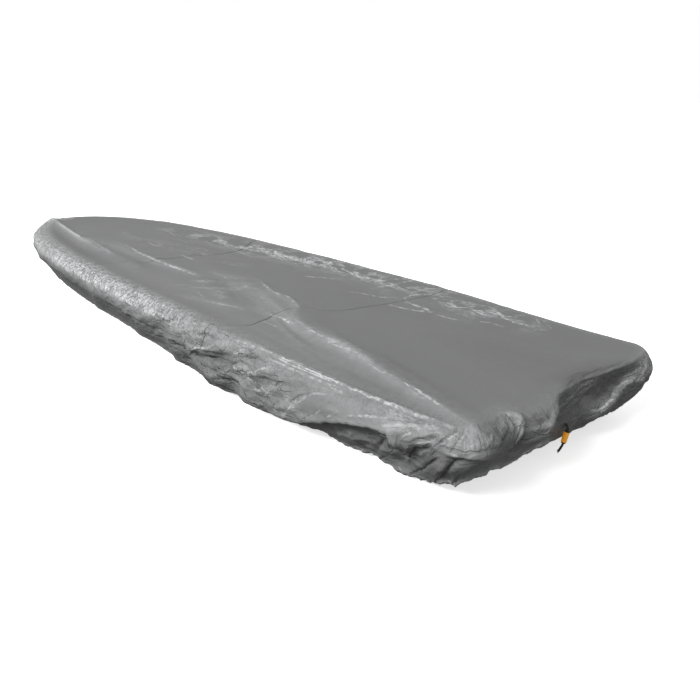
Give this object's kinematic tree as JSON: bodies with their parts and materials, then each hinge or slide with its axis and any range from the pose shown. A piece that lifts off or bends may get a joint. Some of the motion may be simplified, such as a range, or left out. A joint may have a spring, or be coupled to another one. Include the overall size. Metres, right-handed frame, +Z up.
{
  "type": "boat cover",
  "caption": "Fitted cloth boat cover lying on a flat-bottomed boat's rim: flat top, tucked-in gathered skirt, seams across the top, drawcord ends with a lock at the stern.",
  "frame": {"origin": "underside of the top's cloth at the middle of the cover, where the boat carries it", "axes": "+Y towards the bow, +X to starboard, +Z up"},
  "size_m": [1.3695, 4.4199, 0.3135],
  "materials": {
    "silver_cloth": "soft silver sheen, finely crumpled",
    "black_cord": "braided, matte",
    "orange_plastic": "smooth moulded",
    "black_plastic": "smooth moulded"
  },
  "bodies": {
    "root": {"bow_panel": "silver_cloth", "mid_panel": "silver_cloth", "stern_panel": "silver_cloth", "drawcord_port": "black_cord", "drawcord_starboard": "black_cord", "lock_body": "orange_plastic", "lock_cap_top": "black_plastic", "lock_cap_low": "black_plastic"}
  },
  "joints": []
}
